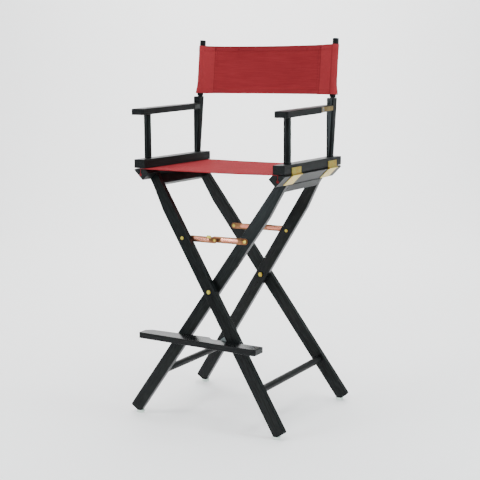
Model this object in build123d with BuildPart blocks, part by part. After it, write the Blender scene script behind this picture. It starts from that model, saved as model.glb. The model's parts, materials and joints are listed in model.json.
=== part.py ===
from build123d import *
import os
from math import atan, cos, hypot, radians, sin, tan

# A folding director's chair at bar height. Millimetres, +Z up, +X to the right as seen
# from the front, +Y to the back. Frame A carries the left seat rail and has its feet at the right;
# frame B is the other way round. The two cross at the main pivots.

# ---- driving dimensions ----
middle = 12.16           # Y of the frame's middle: the footrest stands out further in front
overall_height = 1156.0  # to the tops of the back dowels
pivot_height = 405.0     # main pivots above the floor

leg_lean = radians(56.4)       # legs from the floor
leg_width = 39.0
leg_thickness = 19.0
leg_edge_radius = 1.6
splay = 0.097                  # the legs spread front to back by this much per unit of length
outer_half_depth = {"a": 185.0, "b": 161.0}   # outer faces at the pivot, from the middle
foot_end = -470.0              # along the leg from the pivot
taper_start = 290.0
taper_end = 380.0
taper_side = 10.5              # lower side of the leg above the taper
leg_stock_top = 415.0          # past the cut under the rail
heel_radius = 5.0
glide_height = 8.5
glide_radius = 12.5
glide_x = 247.0

pivot_bolt_radius = 4.0
pivot_head_radius = 6.6
pivot_nut_flat_radius = 9.6
pivot_washer_radius = 9.0
pivot_head_seat = 184.0        # from the middle to the underside of a bolt's head
pivot_nut_seat = 142.9

stretcher_radius = 11.0
stretcher_tenon_radius = 7.0
stretcher_tenon = 12.0
stretcher_shoulder = 1.3       # gap between the stretcher's shoulder and the leg
stretcher_place = {"a": -329.0, "b": -322.0}

rail_bottom = (227.5, 731.0)   # section corners of the right seat rail, X and Z
rail_inner = (205.6, 752.9)
rail_outer = (257.9, 761.4)
rail_flat = 765.0              # top of the rails, under the canvas
rail_front = -191.0
rail_back = 195.0
groove_x = 235.0
groove_z = 747.5
groove_radius = 5.0
groove_width = 3.2
seat_dowel_radius = 4.0
canvas_thickness = 1.3
panel_edge_x = 212.0           # where the seat canvas leaves the rails

apron_foot = 370.0
apron_stock_top = 412.0
apron_stock_half = 150.0
apron_thickness = 20.0

arm_base_inner = 219.0
arm_base_outer = 257.0
arm_base_bottom = 767.5
arm_base_top = 794.0
post_x = 240.0
post_radius = 11.0
tenon_radius = 8.0
tenon_length = 12.0
tenon_socket = 13.0
front_post_y = -140.0
rear_post_y = 148.0
rear_post_top = 975.0
rear_post_inner = 228.5
rear_post_outer = 251.0

armrest_inner = 222.0
armrest_outer = 266.0
armrest_rear_outer = 251.0
armrest_taper = (31.0, 77.0)   # Y where the outer side starts and stops running in
armrest_thickness = 19.0
armrest_front = -190.0
armrest_back = 143.0
armrest_front_bottom = 927.6
armrest_slope = atan(0.0215)
bracket_thickness = 1.6
bracket_line = ((263.0, 40.2), (251.0, 77.0), (251.0, 142.0))
bracket_screw_places = ((92.0, 0.5), (128.0, 1.2))
bracket_screw_radius = 3.2

dowel_radius = 9.75
dowel_x = 238.5
dowel_foot = (168.0, 982.0)    # Y and Z of a point on the dowel's axis
dowel_lean = radians(6.8)
dowel_tenon_radius = 7.5
dowel_tenon = 38.0
back_bottom = 984.0
back_top = 1137.0

hinge_x = 260.5
hinge_z = 763.0
knuckle_radius = 2.8
hinge_pin_radius = 1.2
leaf_thickness = 1.6
hinge_length = 60.0
hinge_places = (-116.5, 127.5)  # Y of the hinges' middles

link_bolt_place = 185.0         # up the leg from the main pivot
link_lean = 0.034               # the stay planes' lean across the legs
link_thickness = 1.1
link_width = 19.0
link_gap = 1.0                  # between a stay and the face of its own leg
stay_bolt_radius = 3.0
stay_head_radius = 5.3
stay_head_height = 2.4
stay_nut_radius = 4.8

footrest_top = 267.0
footrest_thickness = 18.5
footrest_pivot = (60.0, 257.7)
footrest_left = -226.0
footrest_right = 196.0
footrest_front = (-231.0, -258.0)   # Y of the front edge at the left and right ends
footrest_step = 27.0                # X where the back edge leaves the leg's face
footrest_leg_gap = 0.4
footrest_screw_radius = 3.0
peg_radius = 5.0
peg_place = (-196.5, -1.5)          # along frame B's leg and across it

fit = 0.06                      # radial clearance of a running fit
tight_fit = 0.02
glue_fit = 0.05
cos_lean = cos(leg_lean)
sin_lean = sin(leg_lean)
stretch = hypot(1, splay)       # true length of a leg per unit of its length seen from the front

frames = (("a", -1), ("b", 1))
places = (("front", -1), ("rear", 1))
sides = (("left", -1), ("right", 1))

os.makedirs("parts", exist_ok=True)


# ---- planes and points ----
def across(sx, along, up_side):
    """X and Z of a point along a leg's line and out to its upper side."""
    return (
        sx * (along * cos_lean - up_side * sin_lean),
        pivot_height + along * sin_lean + up_side * cos_lean,
    )


def leg_face(frame, sx, side):
    """Outer face of a leg. Its x runs up the leg and its y to the leg's upper side."""
    up = Vector(sx * cos_lean, -side * splay, sin_lean)
    upper = Vector(-sx * sin_lean, 0, cos_lean)
    origin = (0, middle + side * outer_half_depth[frame], pivot_height)
    return Plane(origin, x_dir=up, z_dir=up.cross(upper))


def inner_face(frame, sx, side):
    """Inner face of a leg."""
    return leg_face(frame, sx, side).offset(sx * side * leg_thickness)


def cross_section(y):
    """Plane across the chair at a depth; its normal points to the front."""
    return Plane((0, middle + y, 0), x_dir=(1, 0, 0), z_dir=(0, -1, 0))


def rail_seat(sx):
    """Underside of a seat rail, on which the legs end; its normal points out and up."""
    return Plane((sx * rail_bottom[0], middle, rail_bottom[1]), z_dir=(sx, 0, 1))


def pivot_plane(side, half_depth):
    """Plane across the main pivots' axis; its normal points out of the chair."""
    return Plane((0, middle + side * half_depth, pivot_height), x_dir=(1, 0, 0), z_dir=(0, side, 0))


def link_plane(frame, sx, side, inset):
    """Plane across a stay bolt, a distance along the bolt inside the leg's outer face."""
    x, z = across(sx, link_bolt_place, 0)
    half_depth = outer_half_depth[frame] - splay * link_bolt_place
    outward = (
        sx * (splay * cos_lean - link_lean * sin_lean),
        side,
        splay * sin_lean + link_lean * cos_lean,
    )
    bolt_plane = Plane((x, middle + side * half_depth, z), x_dir=(-sx, 0, 0), z_dir=outward)
    return bolt_plane.offset(-inset)


# ---- legs ----
for frame, sx in frames:
    for place, side in places:
        face = leg_face(frame, sx, side)
        inward = sx * side
        with BuildPart() as leg:
            with BuildSketch(face):
                with BuildLine():
                    Polyline(
                        (foot_end * stretch, -leg_width / 2),
                        (taper_start * stretch, -leg_width / 2),
                        (taper_end * stretch, -taper_side),
                        (leg_stock_top * stretch, -taper_side),
                        (leg_stock_top * stretch, leg_width / 2),
                        (foot_end * stretch, leg_width / 2),
                        close=True,
                    )
                make_face()
                fillet(vertices().sort_by(Axis.X)[:2].sort_by(Axis.Y)[-1:], heel_radius)
            extrude(amount=inward * leg_thickness)
            rims = leg.edges().group_by(Axis(face.origin, face.z_dir))
            fillet(rims[0] + rims[-1], leg_edge_radius)
            split(bisect_by=Plane.XY.offset(glide_height), keep=Keep.TOP)
            split(bisect_by=rail_seat(sx), keep=Keep.BOTTOM)
            # main pivot hole, with a flat for the bolt's head or nut
            running = tight_fit if frame == "a" else fit
            with BuildSketch(pivot_plane(side, 120)):
                Circle(pivot_bolt_radius + running)
            extrude(amount=80, mode=Mode.SUBTRACT)
            seat_depth = pivot_head_seat if frame == "a" else pivot_nut_seat
            with BuildSketch(pivot_plane(side, seat_depth)):
                Circle(pivot_head_radius + 0.6 if frame == "a" else pivot_nut_flat_radius)
            extrude(amount=20 if frame == "a" else -20, mode=Mode.SUBTRACT)
            # stay bolt hole
            with BuildSketch(link_plane(frame, sx, side, leg_thickness / 2)):
                Circle(stay_bolt_radius + tight_fit)
            extrude(amount=leg_thickness, both=True, mode=Mode.SUBTRACT)
            # mortise for the stretcher's tenon
            tenon_end = outer_half_depth[frame] - leg_thickness - splay * stretcher_place[frame]
            with BuildSketch(cross_section(0)):
                with Locations(across(sx, stretcher_place[frame], 0)):
                    Circle(stretcher_tenon_radius + glue_fit)
            extrude(amount=tenon_end + stretcher_tenon, both=True, mode=Mode.SUBTRACT)
        leg.part.label = f"leg_{frame}_{place}"
        export_step(leg.part, f"parts/leg_{frame}_{place}.step")

# ---- stretchers, aprons, glides ----
for frame, sx in frames:
    inner_faces = [inner_face(frame, sx, side) for place, side in places]
    tenon_end = outer_half_depth[frame] - leg_thickness - splay * stretcher_place[frame]
    with BuildPart() as stretcher:
        with BuildSketch(cross_section(0)):
            with Locations(across(sx, stretcher_place[frame], 0)):
                Circle(stretcher_radius)
        extrude(amount=tenon_end - stretcher_shoulder, both=True)
        fillet(stretcher.edges(), 1)
        with BuildSketch(cross_section(0)):
            with Locations(across(sx, stretcher_place[frame], 0)):
                Circle(stretcher_tenon_radius)
        extrude(amount=tenon_end + stretcher_tenon - 1, both=True)
    stretcher.part.label = f"stretcher_{frame}"
    export_step(stretcher.part, f"parts/stretcher_{frame}.step")

    side_name = "left" if sx < 0 else "right"
    with BuildPart() as apron:
        with BuildSketch(cross_section(0)):
            with BuildLine():
                Polyline(
                    across(sx, apron_foot, -taper_side),
                    across(sx, apron_foot, apron_thickness - taper_side),
                    across(sx, apron_stock_top, apron_thickness - taper_side),
                    across(sx, apron_stock_top, -taper_side),
                    close=True,
                )
            make_face()
            fillet(vertices().sort_by(Axis.Y)[:2], 2)
        extrude(amount=apron_stock_half, both=True)
        split(bisect_by=rail_seat(sx), keep=Keep.BOTTOM)
        for place, side in places:
            trim = inner_face(frame, sx, side)
            split(bisect_by=trim, keep=Keep.TOP if sx * side > 0 else Keep.BOTTOM)
    apron.part.label = f"apron_{side_name}"
    export_step(apron.part, f"parts/apron_{side_name}.step")

    with BuildPart() as glides:
        foot_half_depth = outer_half_depth[frame] - splay * (foot_end + 4) - leg_thickness / 2
        with BuildSketch(Plane.XY):
            with Locations(
                (-sx * glide_x, middle - foot_half_depth),
                (-sx * glide_x, middle + foot_half_depth),
            ):
                Circle(glide_radius)
        extrude(amount=glide_height)
        fillet(glides.edges().group_by(Axis.Z)[0], 2.5)
        fillet(glides.edges().group_by(Axis.Z)[-1], 0.8)
    glides.part.label = f"glides_{frame}"
    export_step(glides.part, f"parts/glides_{frame}.step")

# ---- seat rails with their canvas grooves, dowels and hems ----
rail_length = rail_back - rail_front
for side_name, sx in sides:
    slope_top = rail_inner[0] + rail_flat - rail_inner[1]
    with BuildPart() as seat_rail:
        with BuildSketch(cross_section(rail_back)):
            with BuildLine():
                Polyline(
                    (sx * rail_bottom[0], rail_bottom[1]),
                    (sx * rail_outer[0], rail_outer[1]),
                    (sx * (rail_outer[0] + rail_outer[1] - rail_flat), rail_flat),
                    (sx * slope_top, rail_flat),
                    (sx * rail_inner[0], rail_inner[1]),
                    close=True,
                )
            make_face()
            fillet(vertices().sort_by(Axis.Y)[:2], 1.2)
        extrude(amount=rail_length)
        fillet(seat_rail.faces().sort_by(Axis.Y)[0].edges(), 0.9)
        fillet(seat_rail.faces().sort_by(Axis.Y)[-1].edges(), 0.9)
        with BuildSketch(cross_section(rail_back + 1)):
            with Locations((sx * groove_x, groove_z)):
                Circle(groove_radius)
            with Locations((sx * groove_x, groove_z + 10)):
                Rectangle(groove_width, 20)
        extrude(amount=rail_length + 2, mode=Mode.SUBTRACT)
    seat_rail.part.label = f"seat_rail_{side_name}"
    export_step(seat_rail.part, f"parts/seat_rail_{side_name}.step")

    with BuildPart() as seat_dowel:
        with BuildSketch(cross_section(rail_back - 2)):
            with Locations((sx * groove_x, groove_z)):
                Circle(seat_dowel_radius)
        extrude(amount=rail_length - 4)
        chamfer(seat_dowel.edges(), 0.6)
    seat_dowel.part.label = f"seat_dowel_{side_name}"
    export_step(seat_dowel.part, f"parts/seat_dowel_{side_name}.step")

    with BuildPart() as seat_hem:
        with BuildSketch(cross_section(rail_back - 1)):
            with Locations((sx * groove_x, groove_z)):
                Circle(seat_dowel_radius + 0.75)
            with Locations((sx * groove_x, groove_z + 10)):
                Rectangle(canvas_thickness, 17.6 + 2 * canvas_thickness)
            with Locations(
                (
                    sx * (groove_x + canvas_thickness / 2 + panel_edge_x) / 2,
                    rail_flat + 0.05 + canvas_thickness / 2,
                )
            ):
                Rectangle(groove_x + canvas_thickness / 2 - panel_edge_x, canvas_thickness)
            with Locations((sx * groove_x, groove_z)):
                Circle(seat_dowel_radius + 0.05, mode=Mode.SUBTRACT)
            with Locations((sx * groove_x, rail_flat + 10 + 0.05 + canvas_thickness)):
                Rectangle(10, 20, mode=Mode.SUBTRACT)
        extrude(amount=rail_length - 2)
    seat_hem.part.label = f"seat_hem_{side_name}"
    export_step(seat_hem.part, f"parts/seat_hem_{side_name}.step")

    with BuildPart() as seat_canvas:
        with BuildSketch(Plane.XY.offset(rail_flat + 0.05)):
            with Locations((sx * panel_edge_x / 2, middle + (rail_front + rail_back) / 2)):
                Rectangle(panel_edge_x - 0.3, rail_length - 2)
        extrude(amount=canvas_thickness)
    seat_canvas.part.label = f"seat_canvas_{side_name}"
    export_step(seat_canvas.part, f"parts/seat_canvas_{side_name}.step")

# ---- arms ----
dowel_direction = (0, sin(dowel_lean), cos(dowel_lean))


def dowel_plane(sx, height):
    """Plane across a back dowel at a height on its axis."""
    y = middle + dowel_foot[0] + (height - dowel_foot[1]) * tan(dowel_lean)
    return Plane((sx * dowel_x, y, height), x_dir=(1, 0, 0), z_dir=dowel_direction)


def armrest_plane(height):
    """Plane along the armrest's slope, a height above its underside at the front end."""
    origin = (0, middle + armrest_front, armrest_front_bottom + height)
    uphill = (0, -sin(armrest_slope), cos(armrest_slope))
    return Plane(origin, x_dir=(1, 0, 0), z_dir=uphill)


def strap(sx, points, offset_side):
    """Closed outline of a thin strap that follows an arm's side, in the armrest's plan."""
    near = [(sx * x, y - armrest_front) for x, y in points]
    far = [(sx * (x + offset_side), y - armrest_front + 0.35 * offset_side) for x, y in points]
    return near + far[::-1]


for side_name, sx in sides:
    with BuildPart() as arm_base:
        with BuildSketch(cross_section(rail_back)):
            with Locations(
                (sx * (arm_base_inner + arm_base_outer) / 2, (arm_base_bottom + arm_base_top) / 2)
            ):
                Rectangle(arm_base_outer - arm_base_inner, arm_base_top - arm_base_bottom)
            fillet(vertices().sort_by(Axis.Y)[-2:], 2.5)
        extrude(amount=rail_length)
        fillet(arm_base.faces().sort_by(Axis.Y)[0].edges(), 1.2)
        fillet(arm_base.faces().sort_by(Axis.Y)[-1].edges(), 1.2)
        with BuildSketch(Plane.XY.offset(arm_base_top)):
            with Locations(
                (sx * post_x, middle + front_post_y),
                (sx * post_x, middle + rear_post_y),
            ):
                Circle(tenon_radius + glue_fit)
        extrude(amount=-tenon_socket, mode=Mode.SUBTRACT)
    arm_base.part.label = f"arm_base_{side_name}"
    export_step(arm_base.part, f"parts/arm_base_{side_name}.step")

    with BuildPart() as front_post:
        with BuildSketch(Plane.XY.offset(arm_base_top)):
            with Locations((sx * post_x, middle + front_post_y)):
                Circle(post_radius)
        extrude(amount=armrest_front_bottom + 0.85 - arm_base_top)
        chamfer(front_post.edges(), 0.5)
        with BuildSketch(Plane.XY.offset(arm_base_top - tenon_length)):
            with Locations((sx * post_x, middle + front_post_y)):
                Circle(tenon_radius)
        extrude(amount=armrest_front_bottom + 9 - arm_base_top + tenon_length)
    front_post.part.label = f"front_post_{side_name}"
    export_step(front_post.part, f"parts/front_post_{side_name}.step")

    rear_post_x = sx * (rear_post_inner + rear_post_outer) / 2
    rear_post_width = rear_post_outer - rear_post_inner
    with BuildPart() as rear_post:
        with BuildSketch(Plane.XY.offset(arm_base_top)):
            with Locations((sx * post_x, middle + rear_post_y)):
                RectangleRounded(2 * post_radius, 2 * post_radius, post_radius - 0.1)
        with BuildSketch(Plane.XY.offset(arm_base_top + 118)):
            with Locations((rear_post_x, middle + 155.6)):
                RectangleRounded(rear_post_width, 27.6, 5)
        with BuildSketch(Plane.XY.offset(rear_post_top)):
            with Locations((rear_post_x, middle + 160.5)):
                RectangleRounded(rear_post_width, 30.6, 3)
        loft(ruled=True)
        chamfer(rear_post.faces().sort_by(Axis.Z)[-1].edges(), 2.2)
        with BuildSketch(Plane.XY.offset(arm_base_top - tenon_length)):
            with Locations((sx * post_x, middle + rear_post_y)):
                Circle(tenon_radius)
        extrude(amount=tenon_length + 2)
        # socket for the back dowel
        with BuildSketch(dowel_plane(sx, rear_post_top - dowel_tenon)):
            Circle(dowel_tenon_radius + 0.04)
        extrude(amount=dowel_tenon + 20, mode=Mode.SUBTRACT)
        # small arched pocket above the armrest
        with BuildSketch(cross_section(140)):
            with Locations((rear_post_x, 957.5)):
                Rectangle(7, 7)
            with Locations((rear_post_x, 961)):
                Circle(3.5)
        extrude(amount=-7, mode=Mode.SUBTRACT)
    rear_post.part.label = f"rear_post_{side_name}"
    export_step(rear_post.part, f"parts/rear_post_{side_name}.step")

    with BuildPart() as armrest:
        with BuildSketch(armrest_plane(0)):
            with BuildLine():
                Polyline(
                    (sx * armrest_inner, 0),
                    (sx * armrest_outer, 0),
                    (sx * armrest_outer, armrest_taper[0] - armrest_front),
                    (sx * armrest_rear_outer, armrest_taper[1] - armrest_front),
                    (sx * armrest_rear_outer, armrest_back - armrest_front),
                    (sx * armrest_inner, armrest_back - armrest_front),
                    close=True,
                )
            make_face()
            fillet(vertices().group_by(Axis.Y)[0], 6)
        extrude(amount=armrest_thickness)
        slope_axis = Axis(armrest_plane(0).origin, armrest_plane(0).z_dir)
        fillet(armrest.edges().group_by(slope_axis)[-1], 3)
        fillet(armrest.edges().group_by(slope_axis)[0], 2)
        with BuildSketch(Plane.XY.offset(armrest_front_bottom - 5)):
            with Locations((sx * post_x, middle + front_post_y)):
                Circle(tenon_radius + glue_fit)
        extrude(amount=14.5, mode=Mode.SUBTRACT)
    armrest.part.label = f"armrest_{side_name}"
    export_step(armrest.part, f"parts/armrest_{side_name}.step")

    with BuildPart() as arm_bracket:
        with BuildSketch(armrest_plane(2.5)):
            with BuildLine():
                Polyline(
                    *strap(sx, bracket_line, bracket_thickness),
                    close=True,
                )
            make_face()
        extrude(amount=armrest_thickness - 5.5)
        strap_face = Plane(
            (sx * (armrest_rear_outer + bracket_thickness), middle, 943),
            x_dir=(0, 1, 0),
            z_dir=(sx, 0, 0),
        )
        with BuildSketch(strap_face):
            with Locations([(y, up * sx) for y, up in bracket_screw_places]):
                Circle(bracket_screw_radius)
        extrude(amount=0.9)
    arm_bracket.part.label = f"arm_bracket_{side_name}"
    export_step(arm_bracket.part, f"parts/arm_bracket_{side_name}.step")

    with BuildPart() as arm_plate:
        with BuildSketch(armrest_plane(3)):
            with Locations((sx * (armrest_inner - 0.8), 121 - armrest_front)):
                Rectangle(1.5, 30)
        extrude(amount=armrest_thickness - 7)
    arm_plate.part.label = f"arm_plate_{side_name}"
    export_step(arm_plate.part, f"parts/arm_plate_{side_name}.step")

    with BuildPart() as back_dowel:
        with BuildSketch(dowel_plane(sx, rear_post_top + 2)):
            Circle(dowel_radius)
        extrude(amount=(overall_height - rear_post_top - 2) / cos(dowel_lean) - 1.0)
        fillet(back_dowel.edges().sort_by(Axis.Z)[-1:], 2)
        with BuildSketch(dowel_plane(sx, rear_post_top + 2)):
            Circle(dowel_tenon_radius)
        extrude(amount=-dowel_tenon)
    back_dowel.part.label = f"back_dowel_{side_name}"
    export_step(back_dowel.part, f"parts/back_dowel_{side_name}.step")

    with BuildPart() as back_canvas:
        with BuildSketch(dowel_plane(sx, back_bottom)):
            Circle(dowel_radius + 1.5)
            with Locations((-sx * (dowel_x / 2 + 0.15), 0)):
                Rectangle(dowel_x - 0.3, 2)
            Circle(dowel_radius + 0.3, mode=Mode.SUBTRACT)
        extrude(amount=(back_top - back_bottom) / cos(dowel_lean))
    back_canvas.part.label = f"back_canvas_{side_name}"
    export_step(back_canvas.part, f"parts/back_canvas_{side_name}.step")

# ---- butt hinges between the arms and the seat rails ----
knuckle_length = hinge_length / 3
for side_name, sx in sides:
    with BuildPart() as rail_leaves:
        for y in hinge_places:
            with BuildSketch(cross_section(y + hinge_length / 2)):
                with BuildLine():
                    Polyline(
                        (sx * (rail_outer[0] + 2.6), rail_outer[1] + 2.6),
                        (sx * (rail_outer[0] + 2.6 + 1.15), rail_outer[1] + 2.6 - 1.15),
                        (sx * (rail_bottom[0] + 1.8 + 1.15), rail_bottom[1] + 1.8 - 1.15),
                        (sx * (rail_bottom[0] + 1.8), rail_bottom[1] + 1.8),
                        close=True,
                    )
                make_face()
            extrude(amount=hinge_length)
            with BuildSketch(cross_section(y + hinge_length / 2)):
                with Locations((sx * hinge_x, hinge_z)):
                    Circle(knuckle_radius)
            extrude(amount=hinge_length)
            with BuildSketch(cross_section(y + knuckle_length / 2 + 0.2)):
                with Locations((sx * hinge_x, hinge_z)):
                    Circle(knuckle_radius + 0.2)
            extrude(amount=knuckle_length + 0.4, mode=Mode.SUBTRACT)
            with BuildSketch(cross_section(y + hinge_length)):
                with Locations((sx * hinge_x, hinge_z)):
                    Circle(hinge_pin_radius + fit)
            extrude(amount=2 * hinge_length, mode=Mode.SUBTRACT)
    rail_leaves.part.label = f"hinge_leaves_rail_{side_name}"
    export_step(rail_leaves.part, f"parts/hinge_leaves_rail_{side_name}.step")

    with BuildPart() as arm_leaves:
        for y in hinge_places:
            with BuildSketch(cross_section(y + hinge_length / 2)):
                with Locations((sx * (arm_base_outer + leaf_thickness / 2), 774)):
                    Rectangle(leaf_thickness, 22)
            extrude(amount=hinge_length)
            for end in (y + hinge_length / 2 + 0.2, y - knuckle_length / 2 + 0.2):
                with BuildSketch(cross_section(end)):
                    with Locations((sx * hinge_x, hinge_z)):
                        Circle(knuckle_radius + 0.4)
                extrude(amount=knuckle_length + 0.4, mode=Mode.SUBTRACT)
            with BuildSketch(cross_section(y + knuckle_length / 2)):
                with Locations((sx * hinge_x, hinge_z)):
                    Circle(knuckle_radius)
            extrude(amount=knuckle_length)
            with BuildSketch(cross_section(y + hinge_length)):
                with Locations((sx * hinge_x, hinge_z)):
                    Circle(hinge_pin_radius + 0.02)
            extrude(amount=2 * hinge_length, mode=Mode.SUBTRACT)
    arm_leaves.part.label = f"hinge_leaves_arm_{side_name}"
    export_step(arm_leaves.part, f"parts/hinge_leaves_arm_{side_name}.step")

    with BuildPart() as hinge_pins:
        for y in hinge_places:
            with BuildSketch(cross_section(y + hinge_length / 2)):
                with Locations((sx * hinge_x, hinge_z)):
                    Circle(hinge_pin_radius)
            extrude(amount=hinge_length)
    hinge_pins.part.label = f"hinge_pins_{side_name}"
    export_step(hinge_pins.part, f"parts/hinge_pins_{side_name}.step")

# ---- folding stays ----
link_bolt_x = across(1, link_bolt_place, 0)[0]
link_inset = {
    "a": leg_thickness + link_gap + link_thickness,
    "b": -link_gap,
}
# along each bolt, inside the leg's outer face: inner end, nut height, underside of the head
stay_bolt_ends = {
    "a": (leg_thickness + 3.4, 0.9, -0.3),
    "b": (leg_thickness + 2.5, 1.6, -link_gap - link_thickness - 0.15),
}
rivet_radius = 4.5
for frame, sx in frames:
    for place, side in places:
        flat = link_plane(frame, sx, side, link_inset[frame])
        with BuildPart() as stay:
            with BuildSketch(flat):
                with Locations((link_bolt_x / 2, 0)):
                    SlotCenterToCenter(link_bolt_x, link_width)
                Circle(stay_bolt_radius + fit, mode=Mode.SUBTRACT)
            extrude(amount=link_thickness)
        stay.part.label = f"stay_{frame}_{place}"
        export_step(stay.part, f"parts/stay_{frame}_{place}.step")

    with BuildPart() as stay_bolts:
        for place, side in places:
            inner_end, nut_height, head_start = stay_bolt_ends[frame]
            shank = link_plane(frame, sx, side, inner_end)
            with BuildSketch(shank):
                Circle(stay_bolt_radius)
            extrude(amount=inner_end - head_start)
            with BuildSketch(link_plane(frame, sx, side, head_start)):
                Circle(stay_head_radius)
            extrude(amount=stay_head_height)
            with BuildSketch(shank):
                Circle(stay_nut_radius)
            extrude(amount=nut_height)
        fillet(stay_bolts.edges().filter_by(GeomType.CIRCLE).sort_by(SortBy.RADIUS)[-4:], 0.7)
    stay_bolts.part.label = f"stay_bolts_{frame}"
    export_step(stay_bolts.part, f"parts/stay_bolts_{frame}.step")

for place, side in places:
    with BuildPart() as rivet:
        crown = link_plane("a", -1, side, link_inset["a"] - link_thickness)
        with BuildSketch(crown):
            with Locations((link_bolt_x, 0)):
                Circle(rivet_radius)
        extrude(amount=0.9)
        fillet(rivet.edges().sort_by(Axis.Y)[-1 if side > 0 else 0], 0.5)
    rivet.part.label = f"stay_rivet_{place}"
    export_step(rivet.part, f"parts/stay_rivet_{place}.step")

# ---- main pivots ----
with BuildPart() as pivot_bolts:
    for place, side in places:
        with BuildSketch(pivot_plane(side, 136)):
            Circle(pivot_bolt_radius)
        extrude(amount=48)
        with BuildSketch(pivot_plane(side, pivot_head_seat)):
            Circle(pivot_head_radius)
        extrude(amount=4.2)
        with BuildSketch(pivot_plane(side, 137)):
            RegularPolygon(7.5, 6)
        extrude(amount=5.7)
    heads = pivot_bolts.edges().filter_by(GeomType.CIRCLE).sort_by(SortBy.RADIUS)[-4:]
    fillet(heads.sort_by(Axis.Y)[0], 2.6)
    fillet(pivot_bolts.edges().filter_by(GeomType.CIRCLE).sort_by(Axis.Y)[-1], 2.6)
pivot_bolts.part.label = "pivot_bolts"
export_step(pivot_bolts.part, "parts/pivot_bolts.step")

with BuildPart() as pivot_washers:
    for place, side in places:
        with BuildSketch(pivot_plane(side, 162.1)):
            Circle(pivot_washer_radius)
            Circle(pivot_bolt_radius + tight_fit, mode=Mode.SUBTRACT)
        extrude(amount=2.8)
pivot_washers.part.label = "pivot_washers"
export_step(pivot_washers.part, "parts/pivot_washers.step")

# ---- footrest ----
footrest_bottom = footrest_top - footrest_thickness
front_face = leg_face("a", -1, -1)


def leg_front_y(x, z):
    """Y of the front face of frame A's front leg, measured from the middle."""
    return -(outer_half_depth["a"] + splay * (cos_lean * x - sin_lean * (z - pivot_height)))


with BuildPart() as footrest_board:
    with BuildSketch(Plane.XY.offset(footrest_bottom)):
        with BuildLine():
            back_left = leg_front_y(footrest_step, footrest_bottom) - footrest_leg_gap
            back_right = leg_front_y(footrest_right, footrest_bottom) - footrest_leg_gap
            Polyline(
                (footrest_left, middle + footrest_front[0]),
                (footrest_right, middle + footrest_front[1]),
                (footrest_right, middle + back_right),
                (footrest_step, middle + back_left),
            )
            Spline(
                (footrest_step, middle + back_left),
                (-8, middle - 180.6),
                tangents=((-1, 0.02), (-1, 0)),
            )
            Polyline(
                (-8, middle - 180.6),
                (-206, middle - 180.6),
                (footrest_left, middle - 194),
                (footrest_left, middle + footrest_front[0]),
            )
        make_face()
        fillet(vertices().sort_by(Axis.Y)[:1] + vertices().sort_by(Axis.X)[:2].sort_by(Axis.Y)[:1], 7)
    extrude(amount=footrest_thickness)
    fillet(footrest_board.edges().group_by(Axis.Z)[-1], 3)
    fillet(footrest_board.edges().group_by(Axis.Z)[0], 2)
    pivot_depth = leg_front_y(footrest_pivot[0], footrest_pivot[1])
    footrest_axis_plane = Plane(
        (footrest_pivot[0], middle + pivot_depth, footrest_pivot[1]),
        x_dir=(1, 0, 0),
        z_dir=(-splay * cos_lean, -1, splay * sin_lean),
    )
    with BuildSketch(footrest_axis_plane):
        Circle(footrest_screw_radius + fit)
    extrude(amount=26, mode=Mode.SUBTRACT)
footrest_board.part.label = "footrest_board"
export_step(footrest_board.part, "parts/footrest_board.step")

with BuildPart() as footrest_screw:
    with BuildSketch(footrest_axis_plane.offset(-5.5)):
        Circle(footrest_screw_radius)
    extrude(amount=30)
    with BuildSketch(footrest_axis_plane.offset(-5.5)):
        Circle(5.5)
    extrude(amount=2.2)
footrest_screw.part.label = "footrest_screw"
export_step(footrest_screw.part, "parts/footrest_screw.step")

with BuildPart() as footrest_bracket:
    # an ear for the screw, and a flange along the leg's lower side
    with BuildSketch(front_face.offset(0.3)):
        with BuildLine():
            Polyline(
                (-172, -20.0),
                (-172, -34),
                (-164, -42),
                (-149, -42),
                (-140, -34),
                (-140, -20.0),
                close=True,
            )
        make_face()
    extrude(amount=2.6)
    with BuildSketch(front_face.offset(0.3)):
        with Locations((-156, -20.8)):
            Rectangle(32, 1.6)
    extrude(amount=16)
    with BuildSketch(footrest_axis_plane.offset(-12)):
        Circle(footrest_screw_radius + glue_fit)
    extrude(amount=24, mode=Mode.SUBTRACT)
footrest_bracket.part.label = "footrest_bracket"
export_step(footrest_bracket.part, "parts/footrest_bracket.step")

with BuildPart() as footrest_peg:
    peg_face = leg_face("b", 1, -1)
    with BuildSketch(peg_face):
        with Locations((peg_place[0] * stretch, peg_place[1])):
            Circle(peg_radius)
    extrude(amount=19)
    fillet(footrest_peg.edges().sort_by(Axis.Y)[0], 1.5)
footrest_peg.part.label = "footrest_peg"
export_step(footrest_peg.part, "parts/footrest_peg.step")
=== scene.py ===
import json
import math

import bpy
import numpy as np
from mathutils import Matrix, Vector, noise


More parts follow.
